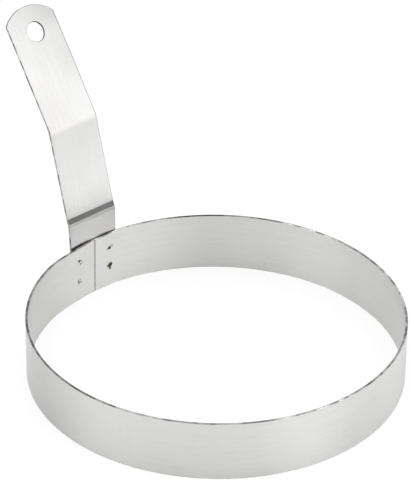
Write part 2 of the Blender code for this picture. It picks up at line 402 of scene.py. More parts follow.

# Painted sheen: stretches of the band where the satin's colour is painted brighter or darker to stand in
# for the reflections there: middle and reach in metres along the strip from the seam's left end, and how
# much brighter.
PAINTED_SHEEN_STRETCHES = ((0.1, 0.034, -0.13), (0.142, 0.022, 0.055), (0.222, 0.034, 0.15), (0.272, 0.035, 0.09),
          (0.375, 0.025, 0.06), (0.421, 0.032, -0.07), (0.474, 0.05, 0.15))


def read_rows(rows, along):
    """The values of a table at a length along the strip."""
    for (start, *first), (end, *last) in zip(rows, rows[1:]):
        if along <= end:
            share = (along - start) / (end - start)
            return [low + (high - low) * share for low, high in zip(first, last)]
    return last


def from_seam(angle, sizes):
    """Length along the strip from the middle of the seam, starting with its left end."""
    return (angle - math.pi - sizes.seam_side / RING_RADIUS) % math.tau * RING_RADIUS


def off_seam(angle, sizes):
    """Distance from the middle of the seam, to either side."""
    along = from_seam(angle, sizes)
    return min(along, math.tau * RING_RADIUS - along)


def rim_wear_and_painted_light(point, sizes):
    """How bright the sheared rim is at a point, from its wear and from painted highlights and shade."""
    angle, radius = around(point)
    inward = (RING_RADIUS - sizes.edge_radius - radius) / (sizes.thickness - 2 * sizes.edge_radius)
    inner, outer = read_rows(RIM_WEAR_AND_PAINTED_LIGHT, from_seam(angle, sizes))
    return outer + (inner - outer) * min(max(inward, 0), 1)


def band_painted_sheen(point, sizes):
    """How much painted sheen brightens or darkens the band's satin at a point."""
    along = from_seam(around(point)[0], sizes)
    painted_sheen = 1
    for middle, reach, gain in PAINTED_SHEEN_STRETCHES:
        off = abs(along - middle)
        painted_sheen += gain * (1 - ease(min(off, math.tau * RING_RADIUS - off) / reach))
    return painted_sheen


def cut_strip_section(sizes):
    """The band's closed section beside the seam, with rounded corners, as a chain of edges."""
    mid_radius = (sizes.diameter - sizes.thickness) / 2
    start = math.pi + (sizes.seam_side + sizes.seam_gap / 2) / mid_radius
    deselect()
    bpy.ops.mesh.primitive_plane_add(
        size=1,
        location=RING_AXIS + Vector((mid_radius * math.cos(start), mid_radius * math.sin(start),
                                     sizes.height / 2)),
        rotation=(math.pi / 2, 0, start))
    band = name_new("rolled_band")
    band.scale = (sizes.thickness, sizes.height, 1)
    bpy.ops.object.transform_apply()
    bpy.ops.object.mode_set(mode="EDIT")
    bpy.ops.mesh.select_all(action="SELECT")
    bpy.ops.mesh.bevel(offset=sizes.edge_radius, segments=3, affect="VERTICES")
    bpy.ops.mesh.delete(type="ONLY_FACE")
    choose(band, "EDGE", lambda edge: rise_of(band, edge) > sizes.height / 2)
    bpy.ops.mesh.subdivide(number_cuts=BAND_ROWS)
    return band


def roll_band(sizes):
    """Spin the section round the ring's axis, short of the seam, and close and round the two ends."""
    band = cut_strip_section(sizes)
    mid_radius = (sizes.diameter - sizes.thickness) / 2
    bpy.ops.mesh.select_all(action="SELECT")
    spin(BAND_STEPS, math.tau - sizes.seam_gap / mid_radius, RING_AXIS, UP)
    bpy.ops.mesh.select_all(action="SELECT")
    bpy.ops.mesh.fill_holes(sides=0)
    bpy.ops.mesh.select_all(action="SELECT")
    bpy.ops.mesh.normals_make_consistent(inside=False)
    choose(band, "EDGE", lambda edge: off_seam(around(middle_of(band, edge))[0], sizes) < sizes.seam_gap
           and rise_of(band, edge) > 2 * sizes.edge_radius)
    bpy.ops.mesh.bevel(offset=sizes.edge_radius, segments=2, clamp_overlap=False)
    return band


def refine_near_welds(piece, facing, reach, cuts):
    """Subdivide the sheet's faces round each weld, on the side that the test accepts."""
    places = WELD_PLACES.values()
    choose(piece, "FACE", lambda face: facing(face) and min(
        off_weld(face.center, place) for place in places) < reach)
    bpy.ops.mesh.subdivide(number_cuts=cuts)
    bpy.ops.object.mode_set(mode="OBJECT")


def off_weld(point, place):
    """Distance along the sheet from a weld's middle to a point beside it."""
    turn = (around(point)[0] - place[0] + math.pi) % math.tau - math.pi
    return math.hypot(turn * RING_RADIUS, point.z - place[1])


def seam_heat(point, sizes):
    """Heat colour inside the band: beside the seam, and a scorch beside the lower right weld."""
    angle, radius = around(point)
    if radius > RING_RADIUS - sizes.thickness / 2:
        return 0
    turn, height = WELD_PLACES["lower_right"]
    near = off_weld(point, (turn + SCORCH_LEFT / RING_RADIUS, height - SCORCH_BELOW))
    tint = 0.5 if off_seam(angle, sizes) < SEAM_TINT else 0
    return max(min(1.6 - near / SCORCH_REACH, 0.9), tint)


def press_dishes(band, sizes):
    """Press the shallow dish that the electrode leaves on the inside of the band at each weld."""
    places = WELD_PLACES.values()
    inside = RING_RADIUS - sizes.thickness / 2
    for vert in band.data.vertices:
        angle, radius = around(vert.co)
        near = min(off_weld(vert.co, place) for place in places)
        if radius < inside and near < sizes.dish_radius:
            push = sizes.dish_depth * (1 - (near / sizes.dish_radius) ** 2) ** 2
            vert.co += push * Vector((math.cos(angle), math.sin(angle), 0))


def ease(value):
    """Smooth step from 0 to 1."""
    value = min(max(value, 0), 1)
    return value * value * (3 - 2 * value)


def end_pull(angle, height, sizes):
    """How far the strip lies inside the circle near its ends, which rolling leaves nearly flat."""
    off = off_seam(angle, sizes)
    on_right = from_seam(angle, sizes) > off
    pull = sizes.right_pull if on_right else sizes.left_pull
    least, growth, fade_start, fade = RIGHT_END if on_right else LEFT_END
    share = LOWER_PULL + (1 - LOWER_PULL) * height / sizes.height
    share *= least + (1 - least) * ease(off / growth)
    return pull * share * (1 - ease((off - fade_start) / fade))


def ripple_sheet(band, sizes):
    """Draw the sheet in by its flat ends and by shallow waves, and roughen its sheared upper rim."""
    for vert in band.data.vertices:
        angle = around(vert.co)[0]
        along = angle * RING_RADIUS
        wave = 0.5 + 0.5 * noise.noise(Vector((along / WAVE_ALONG, vert.co.z / WAVE_UP, 0)))
        push = sizes.ripple * wave + end_pull(angle, vert.co.z, sizes)
        vert.co -= push * Vector((math.cos(angle), math.sin(angle), 0))
        if vert.co.z > sizes.height - sizes.edge_radius:
            nick = 0.5 + 0.5 * noise.noise(Vector((along / NICK_ALONG, 7.3, 0)))
            vert.co.z -= sizes.nick * nick


# Handle

HANDLE_COLUMNS = 12
FOOT_ROWS = 10
GRIP_COLUMNS = 8
GRIP_ROWS = 14
CORNER_CUTS = 6
CROWN_CUTS = 24
HOLE_STEPS = 64

# Where the grip starts to roll back: share of its length, and share of its width left of the middle.
ROLL_START = 0.45
ROLL_LEFT = 0.1

# How bright the cut edge is: worn in the hanging hole, darker round the crown, and darkened by painted
# shade in the rounding of the right side, standing in for the dark surroundings it reflects.
HOLE_WEAR = 0.35
RIGHT_PAINTED_SHADE = 0.2
CROWN_EDGE_TONE = 0.5

# Painted light on the handle's satin: how much painted shade darkens it at the crown's right, and how much
# a painted highlight brightens it down the grip's left.
CROWN_PAINTED_SHADE = 0.16
GRIP_PAINTED_HIGHLIGHT = 0.13

# How far heat colour spreads from each weld on the back of the foot, in metres.
BACK_HEAT = 0.0035


def foot_plane(sizes):
    """Place along X of the middle of the foot's sheet."""
    return RING_AXIS.x - RING_RADIUS + sizes.foot_inset


def up_flat(lean):
    """Direction up a flat of the handle that leans outward."""
    return Vector((-math.sin(lean), 0, math.cos(lean)))


def out_of_back(lean):
    """Direction out of the back of a flat of the handle that leans outward."""
    return Vector((-math.cos(lean), 0, -math.sin(lean)))


def cut_foot(sizes):
    """The foot of the strip, still flat, with rounded corners, up to the rim."""
    length = BAND_HIGH.z - sizes.foot_height
    corner_top = sizes.foot_height + sizes.corner_radius
    deselect()
    bpy.ops.mesh.primitive_plane_add(
        size=1, location=(foot_plane(sizes), 0, sizes.foot_height + length / 2),
        rotation=(0, math.pi / 2, 0))
    handle = name_new("folded_handle")
    handle.scale = (length, sizes.width, 1)
    bpy.ops.object.transform_apply()
    choose(handle, "VERT", lambda vert: vert.co.z < corner_top)
    bpy.ops.mesh.bevel(offset=sizes.corner_radius, segments=CORNER_CUTS, affect="VERTICES")
    column = sizes.width / HANDLE_COLUMNS
    cuts = [((0, column * count - sizes.width / 2, 0), ACROSS) for count in range(1, HANDLE_COLUMNS)]
    row = (length - sizes.corner_radius) / FOOT_ROWS
    cuts += [((0, 0, corner_top + row * count), UP) for count in range(FOOT_ROWS)]
    for place, direction in cuts:
        bpy.ops.mesh.select_all(action="SELECT")
        bpy.ops.mesh.bisect(plane_co=place, plane_no=direction)
    return handle


def fold_strip(handle, sizes):
    """Extrude and spin the strip's top edge along its flats and bends, and give the grip's start.

    A run is a flat's length, or a bend's radius at the middle of the sheet, with its turn and its steps.
    One that turns with no radius is a crisp fold.
    """
    half = sizes.thickness / 2
    runs = [
        (2 * sizes.thickness, sizes.neck_lean, 3),
        (sizes.neck_length, 0, 1),
        (sizes.shoulder_radius + half, sizes.shoulder_lean - sizes.neck_lean, 8),
        (sizes.shoulder_length, 0, 1),
        (sizes.crease_radius + half, sizes.shank_lean + sizes.curl - sizes.shoulder_lean, 3),
        (sizes.curl_length / sizes.curl, -sizes.curl, 4),
        (sizes.shank_length - 2 * sizes.curl_length, 0, 1),
        (sizes.curl_length / sizes.curl, -sizes.curl, 4),
        (0, sizes.grip_lean + sizes.curl - sizes.shank_lean, 0),
        (sizes.grip_length, 0, 1),
    ]
    place = Vector((foot_plane(sizes), 0, BAND_HIGH.z))
    top = place.z
    lean = 0
    choose(handle, "EDGE", lambda edge: min(end.z for end in ends_of(handle, edge)) > top - half)
    for length, turn, steps in runs:
        start = place
        if not length:
            lean += turn
        elif turn:
            centre = place + math.copysign(length, turn) * out_of_back(lean)
            spin(steps, -turn, centre, ACROSS)
            place = centre + Matrix.Rotation(-turn, 3, ACROSS) @ (place - centre)
            lean += turn
        else:
            step = length * up_flat(lean)
            bpy.ops.mesh.extrude_region_move(TRANSFORM_OT_translate={"value": step})
            place = place + step
    return start


def in_grip(start, sizes, point):
    """Whether a point lies on the flat of the grip."""
    offset = point - start
    tiny = sizes.edge_radius / 10
    out = offset.dot(out_of_back(sizes.grip_lean))
    along = offset.dot(up_flat(sizes.grip_lean))
    return abs(out) < tiny and along > -tiny


def crown_end(handle, sizes, start):
    """Cut the end of the grip to its crown and rounded corners, along their tangents."""
    along = up_flat(sizes.grip_lean)
    half = sizes.width / 2
    radius = (half ** 2 + sizes.crown ** 2) / (2 * sizes.crown)
    corner = sizes.corner_radius
    corner_across = half - corner
    corner_along = math.sqrt((radius - corner) ** 2 - corner_across ** 2)
    corner_turn = math.atan2(corner_across, corner_along)
    centre = start + along * (sizes.grip_length - radius)
    cuts = []
    step = 2 * corner_turn / CROWN_CUTS
    for count in range(CROWN_CUTS):
        cuts.append((centre, radius * math.cos(step / 2), step * (count + 0.5) - corner_turn))
    step = (math.pi / 2 - corner_turn) / CORNER_CUTS
    for side in (-1, 1):
        corner_centre = centre + along * corner_along + ACROSS * corner_across * side
        for count in range(CORNER_CUTS):
            turn = corner_turn + step * (count + 0.5)
            cuts.append((corner_centre, corner * math.cos(step / 2), side * turn))
    for middle, reach, turn in cuts:
        direction = along * math.cos(turn) + ACROSS * math.sin(turn)
        choose(handle, "FACE", lambda face: in_grip(start, sizes, face.center))
        bpy.ops.mesh.bisect(plane_co=middle + direction * reach, plane_no=direction, clear_outer=True)


def punch_hole(handle, sizes, start):
    """Fill the grip's flat again between its outline and the hanging hole."""
    along = up_flat(sizes.grip_lean)
    choose(handle, "FACE", lambda face: in_grip(start, sizes, face.center))
    bpy.ops.mesh.dissolve_faces()
    bpy.ops.mesh.delete(type="ONLY_FACE")
    bpy.ops.mesh.primitive_circle_add(
        vertices=HOLE_STEPS, radius=sizes.hole_diameter / 2,
        location=start + along * (sizes.grip_length - sizes.hole_setback),
        rotation=(0, math.pi / 2 - sizes.grip_lean, 0))
    choose(handle, "EDGE", lambda edge: all(in_grip(start, sizes, end) for end in ends_of(handle, edge)))
    bpy.ops.mesh.fill(use_beauty=True)
    cuts = []
    for count in range(1, GRIP_COLUMNS):
        cuts.append(((0, sizes.width * (count / GRIP_COLUMNS - 0.5), 0), ACROSS))
    for count in range(1, GRIP_ROWS):
        cuts.append((start + along * sizes.grip_length * count / GRIP_ROWS, along))
    for place, direction in cuts:
        choose(handle, "FACE", lambda face: in_grip(start, sizes, face.center))
        bpy.ops.mesh.bisect(plane_co=place, plane_no=direction)
    bpy.ops.object.mode_set(mode="OBJECT")


def roll_end(handle, sizes, start):
    """Roll the grip's end and right edge back a little, as blanking leaves them."""
    along = up_flat(sizes.grip_lean)
    back = out_of_back(sizes.grip_lean)
    for vert in handle.data.vertices:
        if in_grip(start, sizes, vert.co):
            share = (vert.co - start).dot(along) / sizes.grip_length
            rise = max(share - ROLL_START, 0) / (1 - ROLL_START)
            side = max(vert.co.y / sizes.width + ROLL_LEFT, 0) / (0.5 + ROLL_LEFT)
            vert.co += back * sizes.end_roll * (0.7 * rise ** 2 + rise * side ** 2)


def foot_bend(across, sizes):
    """How far forward the foot's sheet lies at a place across it. Its right curls a fifth as far."""
    curl = sizes.foot_curl if across < 0 else 0.2 * sizes.foot_curl
    return curl * (2 * across / sizes.width) ** 2 - sizes.foot_back


def set_foot(handle, sizes):
    """Set the foot as it was welded: to the left, curled and tilted, with the neck easing to flat."""
    rim = BAND_HIGH.z
    for vert in handle.data.vertices:
        share = min(max(1 - (vert.co.z - rim) / sizes.neck_length, 0), 1)
        vert.co.x += ease(share) * foot_bend(vert.co.y, sizes)
        vert.co.x -= math.tan(sizes.foot_tilt) * max(rim - vert.co.z, 0)
        vert.co.y -= share * sizes.foot_side


def fold_handle(sizes):
    """The folded handle as a sheet with rounded edges and a crisp fold under the grip."""
    handle = cut_foot(sizes)
    start = fold_strip(handle, sizes)
    crown_end(handle, sizes, start)
    punch_hole(handle, sizes, start)
    roll_end(handle, sizes, start)
    handle.data.materials.append(None)
    handle.data.materials.append(None)
    finish_modifier(handle, "SOLIDIFY", thickness=sizes.thickness, offset=0, use_even_offset=True,
                    material_offset_rim=1)
    finish_modifier(handle, "BEVEL", width=sizes.edge_radius, segments=3, limit_method="ANGLE",
                    angle_limit=math.radians(60), use_clamp_overlap=False, material=1)
    along = up_flat((sizes.grip_lean + sizes.shank_lean - sizes.curl) / 2)
    tiny = sizes.edge_radius / 10
    choose(handle, "EDGE", lambda edge: all(
        abs((end - start).dot(along)) < tiny for end in ends_of(handle, edge)))
    bpy.ops.mesh.mark_sharp()
    bpy.ops.object.mode_set(mode="OBJECT")
    return handle


def on_foot_back(point, sizes):
    """Whether a point of the handle is on the back of its foot."""
    return point.z < BAND_HIGH.z and point.x < foot_plane(sizes) - sizes.thickness / 4


def edge_wear_and_painted_shade(point, sizes):
    """How bright the handle's cut edge is: worn in the hole, darker round the crown, and painted shade down
    its right side.

    On the right only the rounding is darkened by painted shade, which lies within its own radius of the
    side.
    """
    off_top = (HANDLE_HIGH.z - point.z) / math.cos(sizes.grip_lean)
    off_hole = math.hypot(off_top - sizes.hole_setback, point.y)
    if off_hole < 0.75 * sizes.hole_diameter:
        return HOLE_WEAR
    # Painted shade on the rounding of the right side.
    inward = (sizes.width / 2 - point.y) / sizes.edge_radius
    if 0.05 < inward < 1.05:
        return RIGHT_PAINTED_SHADE
    return CROWN_EDGE_TONE + (1 - CROWN_EDGE_TONE) * ease(off_top / (2 * sizes.crown) - 0.3)


def handle_painted_sheen(point, sizes):
    """How bright the handle's satin is: painted shade at the crown's right, and a painted highlight down
    the grip's left.
    """
    off_top = (HANDLE_HIGH.z - point.z) / math.cos(sizes.grip_lean)
    across = point.y / sizes.width
    # Painted shade at the crown's right, then a painted highlight down the grip's left.
    dull = CROWN_PAINTED_SHADE * (0.5 + across) * (1 - ease((off_top - sizes.crown) / sizes.hole_diameter))
    painted_highlight = GRIP_PAINTED_HIGHLIGHT * (0.5 - across) * (1 - ease(2 * off_top / sizes.grip_length - 1))
    return 1 - dull + painted_highlight


def mark_heat(point, sizes):
    """Heat colour on the back of the foot, round each weld's mark."""
    near = min(off_weld(point, place) for place in WELD_PLACES.values())
    return min(max(1.2 - near / BACK_HEAT, 0), 1) if on_foot_back(point, sizes) else 0


def press_marks(handle, sizes):
    """Press the electrode's round, flat-bottomed mark into the back of the foot at each weld."""
    places = WELD_PLACES.values()
    slope = sizes.mark_radius / 5
    for vert in handle.data.vertices:
        near = min(off_weld(vert.co, place) for place in places)
        if on_foot_back(vert.co, sizes):
            vert.co.x += sizes.mark_depth * ease((sizes.mark_radius + slope - near) / slope)


# Spot welds

# Each scar is a cluster of burnt spots: right of and above the weld's middle as seen from inside the
# ring, and radius, in metres.
SCARS = {
    "upper_left": ((-0.0018, 0.0016, 0.00066), (-0.0007, 0.0016, 0.0003), (-0.0012, 0.001, 0.0002),
                   (-0.0010, -0.0002, 0.0003), (-0.0008, 0.0002, 0.0002)),
    "lower_left": ((-0.0017, 0.0013, 0.00028), (-0.0016, 0.0006, 0.00034), (-0.0012, -0.0003, 0.0004),
                   (-0.0008, 0.0004, 0.00028), (-0.0004, 0.0012, 0.00026)),
    "upper_right": ((0.00019, 0.00008, 0.0008), (-0.00055, 0.0, 0.00045), (-0.0011, -0.0001, 0.00036),
                    (-0.0015, -0.00015, 0.0003), (0.0014, 0.0008, 0.00028)),
    "lower_right": ((0.0002, 0.0003, 0.00115), (-0.0009, -0.0004, 0.0004), (-0.0012, 0.0003, 0.00036),
                    (0.0001, -0.0012, 0.00055), (0.0001, -0.0018, 0.00038)),
}

# Share of the remeshed weld's faces that is kept.
WELD_DETAIL = 0.12


def strike_weld(weld, sizes, band_sizes, handle_sizes):
    """One weld: burnt spots in the band's dish, a barrel through both sheets, and a face on the back."""
    angle, height = WELD_PLACES[weld]
    out = Vector((math.cos(angle), math.sin(angle), 0))
    right = Vector((math.sin(angle), -math.cos(angle), 0))
    inside = RING_RADIUS - band_sizes.thickness - end_pull(angle, height, band_sizes)
    back = RING_AXIS.x - foot_plane(handle_sizes) + handle_sizes.thickness / 2 - handle_sizes.mark_depth
    back += math.tan(handle_sizes.foot_tilt) * (BAND_HIGH.z - height)
    back -= foot_bend(RING_RADIUS * math.sin(angle) + handle_sizes.foot_side, handle_sizes)
    back /= -math.cos(angle)
    axis = RING_AXIS + UP * height
    deselect()
    bpy.ops.mesh.primitive_cylinder_add(
        vertices=32, radius=sizes.barrel_radius, depth=back - inside - sizes.scar_rise,
        location=axis + out * (back + inside + sizes.scar_rise) / 2, rotation=(0, math.pi / 2, angle))
    piece = name_new("weld_" + weld)
    bpy.ops.object.mode_set(mode="EDIT")
    for across, above, radius in SCARS[weld]:
        near = min(math.hypot(across, above) / band_sizes.dish_radius, 1)
        floor = inside + band_sizes.dish_depth * (1 - near ** 2) ** 2 - sizes.scar_rise / 2
        bpy.ops.mesh.primitive_uv_sphere_add(
            segments=24, ring_count=12, radius=radius, rotation=(0, 0, angle),
            location=axis + out * floor + right * across + UP * above,
            scale=(sizes.scar_rise / radius, 1, 1))
    bpy.ops.mesh.primitive_uv_sphere_add(
        segments=32, ring_count=16, radius=sizes.back_radius, rotation=(0, 0, angle),
        location=axis + out * back, scale=(sizes.scar_rise / 2 / sizes.back_radius, 1, 1))
    bpy.ops.object.mode_set(mode="OBJECT")
    bpy.ops.object.transform_apply()
    finish_modifier(piece, "REMESH", mode="VOXEL", voxel_size=sizes.grain)
    normals = [vert.normal.copy() for vert in piece.data.vertices]
    for vert, normal in zip(piece.data.vertices, normals):
        vert.co += normal * noise.noise(vert.co / (6 * sizes.grain)) * sizes.grain
    finish_modifier(piece, "DECIMATE", ratio=WELD_DETAIL)
    return piece


# Finishes

# Painted shade down the handle's right side, standing in for the dark surroundings its rolled-over edge
# reflects: its width, and the length under the grip over which it fades.
SIDE_SHADE_WIDTH = 0.0005
SIDE_SHADE_FADE = 0.01

# Tints of heated steel, from cool to scorched: share of the heat, and tint.
HEAT_COLOURS = ((0.0, (1, 1, 1)), (0.25, (1, 1, 1)), (0.45, (1.0, 0.97, 0.9)), (0.62, (0.95, 0.86, 0.74)),
                (0.8, (0.7, 0.6, 0.55)), (1.0, (0.45, 0.38, 0.35)))

# Colours of the burnt weld, from dark oxide to bare flecks: value of the noise, and colour.
OXIDE_COLOURS = ((0.3, (0.035, 0.027, 0.022)), (0.5, (0.09, 0.07, 0.058)), (0.62, (0.18, 0.145, 0.125)),
                 (0.75, (0.42, 0.39, 0.36)))


def wire(tree, kind, inputs=None, **settings):
    """Add a node, with its settings and its inputs, which are values or other nodes' outputs."""
    made = tree.nodes.new(kind)
    for name, value in settings.items():
        setattr(made, name, value)
    for name, value in (inputs or {}).items():
        if isinstance(value, bpy.types.NodeSocket):
            tree.links.new(value, made.inputs[name])
        else:
            made.inputs[name].default_value = value
    return made


def stretched_noise(tree, place, along, across, detail=2.0):
    """Noise drawn out along the grain: its counts are cells to a metre."""
    scaled = wire(tree, "ShaderNodeMapping", {"Vector": place, "Scale": (along, across, along)})
    return wire(tree, "ShaderNodeTexNoise", {"Vector": scaled.outputs[0], "Scale": 1.0, "Detail": detail,
                                             "Roughness": 0.6}).outputs["Fac"]


def even_noise(tree, place, scale, detail):
    """Noise alike in all directions: its scale is cells to a metre."""
    inputs = {"Vector": place, "Scale": scale, "Detail": detail}
    return wire(tree, "ShaderNodeTexNoise", inputs).outputs["Fac"]


def painted(tree, name):
    """A point attribute that was painted on the piece."""
    return wire(tree, "ShaderNodeAttribute", attribute_name=name).outputs["Fac"]


def spread(tree, value, low, high, share_low=0.25, share_high=0.75):
    """Map a value's own range, which is the middle part of a noise unless given, to another."""
    return wire(tree, "ShaderNodeMapRange", {"Value": value, "From Min": share_low, "From Max": share_high,
                                             "To Min": low, "To Max": high}).outputs[0]


def times(tree, first, second):
    """Product of two values."""
    return wire(tree, "ShaderNodeMath", {0: first, 1: second}, operation="MULTIPLY").outputs[0]


def plus(tree, first, second):
    """Sum of two values."""
    return wire(tree, "ShaderNodeMath", {0: first, 1: second}, operation="ADD").outputs[0]


def shaded(tree, colour, shade):
    """A colour made brighter or darker by a value."""
    return wire(tree, "ShaderNodeVectorMath", {0: colour, "Scale": shade}, operation="SCALE").outputs[0]


def emboss(tree, shader, relief, strength, distance):
    """Give a finish its fine relief."""
    bump = wire(tree, "ShaderNodeBump", {"Height": relief, "Strength": strength, "Distance": distance})
    tree.links.new(bump.outputs[0], shader.inputs["Normal"])


def new_metal(name, roughness, anisotropy=0.0):
    """A metal material, its tree and its shader."""
    material = bpy.data.materials.new(name)
    material.use_nodes = True
    tree = material.node_tree
    shader = tree.nodes["Principled BSDF"]
    shader.inputs["Metallic"].default_value = 1
    shader.inputs["Roughness"].default_value = roughness
    shader.inputs["Anisotropic"].default_value = anisotropy
    shader.inputs["Anisotropic Rotation"].default_value = 0.25
    return material, tree, shader


def satin_sheet(name, colour, roughness, shaded_side=None):
    """Satin sheet steel: a fine grain, soft streaks and mottling, heat colours round the welds, and painted
    sheen where its colour stands in for reflections.

    The last argument gives a side's place across the grain and the height above which the satin beside it
    gets painted shade, standing in for the dark surroundings that its rolled-over edge reflects.
    """
    material, tree, shader = new_metal(name, roughness, anisotropy=0.7)
    grain = wire(tree, "ShaderNodeUVMap", uv_map="grain").outputs[0]
    place = wire(tree, "ShaderNodeTexCoord").outputs["Object"]
    fine = stretched_noise(tree, grain, along=60, across=5200, detail=3)
    streak = stretched_noise(tree, grain, along=14, across=900)
    bands = stretched_noise(tree, grain, along=45, across=5, detail=1)
    mottle = even_noise(tree, place, scale=70.0, detail=3.0)

    shade = times(tree, spread(tree, fine, 0.96, 1.04), spread(tree, streak, 0.98, 1.02))
    patchy = times(tree, spread(tree, bands, 0.985, 1.015), spread(tree, mottle, 0.98, 1.02))
    # Painted sheen: brighter and darker stretches of colour that stand in for reflections.
    shade = times(tree, times(tree, shade, patchy), painted(tree, "painted_sheen"))
    # Painted shade beside the handle's rolled-over right side.
    if shaded_side:
        side, fold_height = shaded_side
        parts = wire(tree, "ShaderNodeSeparateXYZ", {0: grain}).outputs
        painted_side_shade = spread(tree, parts["Y"], 0, -0.4, side - SIDE_SHADE_WIDTH, side)
        fade = spread(tree, parts["X"], 0.3, 1, fold_height - SIDE_SHADE_FADE, fold_height)
        shade = times(tree, shade, plus(tree, times(tree, painted_side_shade, fade), 1))
    cooler = (colour[0] * 0.985, colour[1] * 0.995, colour[2] * 1.02, 1)
    tinted = wire(tree, "ShaderNodeMix", {"Factor": spread(tree, mottle, 0, 1), 6: (*colour, 1), 7: cooler},
                  data_type="RGBA").outputs[2]

    ragged = spread(tree, even_noise(tree, place, scale=1400.0, detail=2.0), 0.75, 1.25)
    heat = times(tree, painted(tree, "weld_heat"), ragged)
    ramp = wire(tree, "ShaderNodeValToRGB", {"Fac": heat})
    fill_ramp(ramp, HEAT_COLOURS)
    steel = shaded(tree, tinted, shade)
    burnt = wire(tree, "ShaderNodeMix", {"Factor": 1.0, 6: steel, 7: ramp.outputs[0]}, data_type="RGBA",
                 blend_type="MULTIPLY").outputs[2]
    tree.links.new(burnt, shader.inputs["Base Color"])

    dull = plus(tree, spread(tree, fine, -0.03, 0.03), spread(tree, mottle, -0.02, 0.02))
    dull = plus(tree, plus(tree, dull, spread(tree, bands, -0.015, 0.015)), roughness)
    tree.links.new(plus(tree, dull, times(tree, heat, 0.15)), shader.inputs["Roughness"])
    relief = plus(tree, times(tree, fine, 0.7), times(tree, streak, 0.3))
    emboss(tree, shader, relief, strength=0.5, distance=0.00001)
    tangent = wire(tree, "ShaderNodeTangent", direction_type="UV_MAP", uv_map="grain")
    tree.links.new(tangent.outputs[0], shader.inputs["Tangent"])
    return material


def fill_ramp(ramp, stops):
    """Set a colour ramp's stops: position and colour."""
    elements = ramp.color_ramp.elements
    while len(elements) < len(stops):
        elements.new(1.0)
    for element, (position, colour) in zip(elements, stops):
        element.position = position
        element.color = (*colour, 1)


def sheared_edge(name, colour):
    """The cut edge of the sheet: bright sheared patches and dark torn ones, with marks across it, made
    brighter or darker by its painted wear, painted highlights and painted shade.
    """
    material, tree, shader = new_metal(name, 0.4)
    grain = wire(tree, "ShaderNodeUVMap", uv_map="grain").outputs[0]
    place = wire(tree, "ShaderNodeTexCoord").outputs["Object"]
    marks = stretched_noise(tree, grain, along=2600, across=500)
    patches = even_noise(tree, place, scale=260.0, detail=2.0)
    shade = times(tree, spread(tree, marks, 0.75, 1.25), spread(tree, patches, 0.4, 1.25, 0.38, 0.62))
    # Wear of the edge, with painted highlights and painted shade.
    shade = times(tree, shade, painted(tree, "wear_and_painted_light"))
    tree.links.new(shaded(tree, tuple(colour), shade), shader.inputs["Base Color"])
    tree.links.new(plus(tree, spread(tree, marks, -0.08, 0.08), 0.42), shader.inputs["Roughness"])
    emboss(tree, shader, marks, strength=0.6, distance=0.00003)
    return material


def burnt_weld(name):
    """Weld metal: dark brown oxide with a few bare flecks."""
    material, tree, shader = new_metal(name, 0.5)
    place = wire(tree, "ShaderNodeTexCoord").outputs["Object"]
    lumps = even_noise(tree, place, scale=2600.0, detail=3.0)
    ramp = wire(tree, "ShaderNodeValToRGB", {"Fac": lumps})
    fill_ramp(ramp, OXIDE_COLOURS)
    tree.links.new(ramp.outputs[0], shader.inputs["Base Color"])
    tree.links.new(spread(tree, lumps, 0.75, 0.35), shader.inputs["Roughness"])
    emboss(tree, shader, lumps, strength=0.7, distance=0.00006)
    return material


# Stage

# In metres: how far the floor lies under the ring's lower edge, the height above the floor that the soft
# boxes are aimed at, and how far away they hang.
FLOOR_DROP = 0.00002
LAMP_AIM = 0.04
LAMP_DISTANCE = 1.2

# White surroundings with a dark line of studio wall just above the table's edge: height of the direction,
# from -1 straight down to 1 straight up, and brightness.
SKY = ((-0.26, 1.0), (-0.17, 1.5), (-0.12, 1.5), (-0.055, 1.3), (-0.01, 0.13), (0.17, 0.13), (0.25, 0.95),
       (0.55, 1.05), (0.8, 1.2))


def place_camera(stage):
    """The camera at the photograph's place, aim and focal length."""
    back = Vector((math.sin(stage.camera_azimuth) * math.cos(stage.camera_elevation),
                   -math.cos(stage.camera_azimuth) * math.cos(stage.camera_elevation),
                   math.sin(stage.camera_elevation)))
    forward = -back
    right = forward.cross(UP).normalized()
    up = right.cross(forward)
    yaw, pitch, roll = stage.camera_aim
    turn = Matrix.Rotation(yaw, 3, up)
    forward, right = turn @ forward, turn @ right
    turn = Matrix.Rotation(pitch, 3, right)
    forward, up = turn @ forward, turn @ up
    turn = Matrix.Rotation(roll, 3, forward)
    right, up = turn @ right, turn @ up
    deselect()
    bpy.ops.object.camera_add()
    camera = bpy.context.object
    camera.name = "camera"
    camera.matrix_world = Matrix.Translation(RING_AXIS + back * stage.camera_distance) @ Matrix(
        (right, up, -forward)).transposed().to_4x4()
    camera.data.lens = camera.data.sensor_width * stage.focal_share
    bpy.context.scene.camera = camera


def lay_floor(stage):
    """A plain pale round floor, which the camera sees as white with a soft shadow."""
    deselect()
    bpy.ops.mesh.primitive_circle_add(vertices=128, radius=stage.floor_radius, fill_type="NGON",
                                      location=(RING_AXIS.x, 0, -FLOOR_DROP))
    floor = name_new("floor")
    material = bpy.data.materials.new("pale floor")
    material.use_nodes = True
    tree = material.node_tree
    tree.nodes.clear()
    path = wire(tree, "ShaderNodeLightPath")
    plain = wire(tree, "ShaderNodeBsdfDiffuse", {"Color": (0.8, 0.8, 0.8, 1)})
    faint = wire(tree, "ShaderNodeBsdfDiffuse", {"Color": (0.3, 0.3, 0.3, 1)})
    glow = wire(tree, "ShaderNodeEmission", {"Color": (1, 1, 1, 1), "Strength": 0.72})
    white = wire(tree, "ShaderNodeAddShader", {0: faint.outputs[0], 1: glow.outputs[0]})
    mixed = wire(tree, "ShaderNodeMixShader",
                 {0: path.outputs["Is Camera Ray"], 1: plain.outputs[0], 2: white.outputs[0]})
    wire(tree, "ShaderNodeOutputMaterial", {"Surface": mixed.outputs[0]})
    floor.data.materials.append(material)


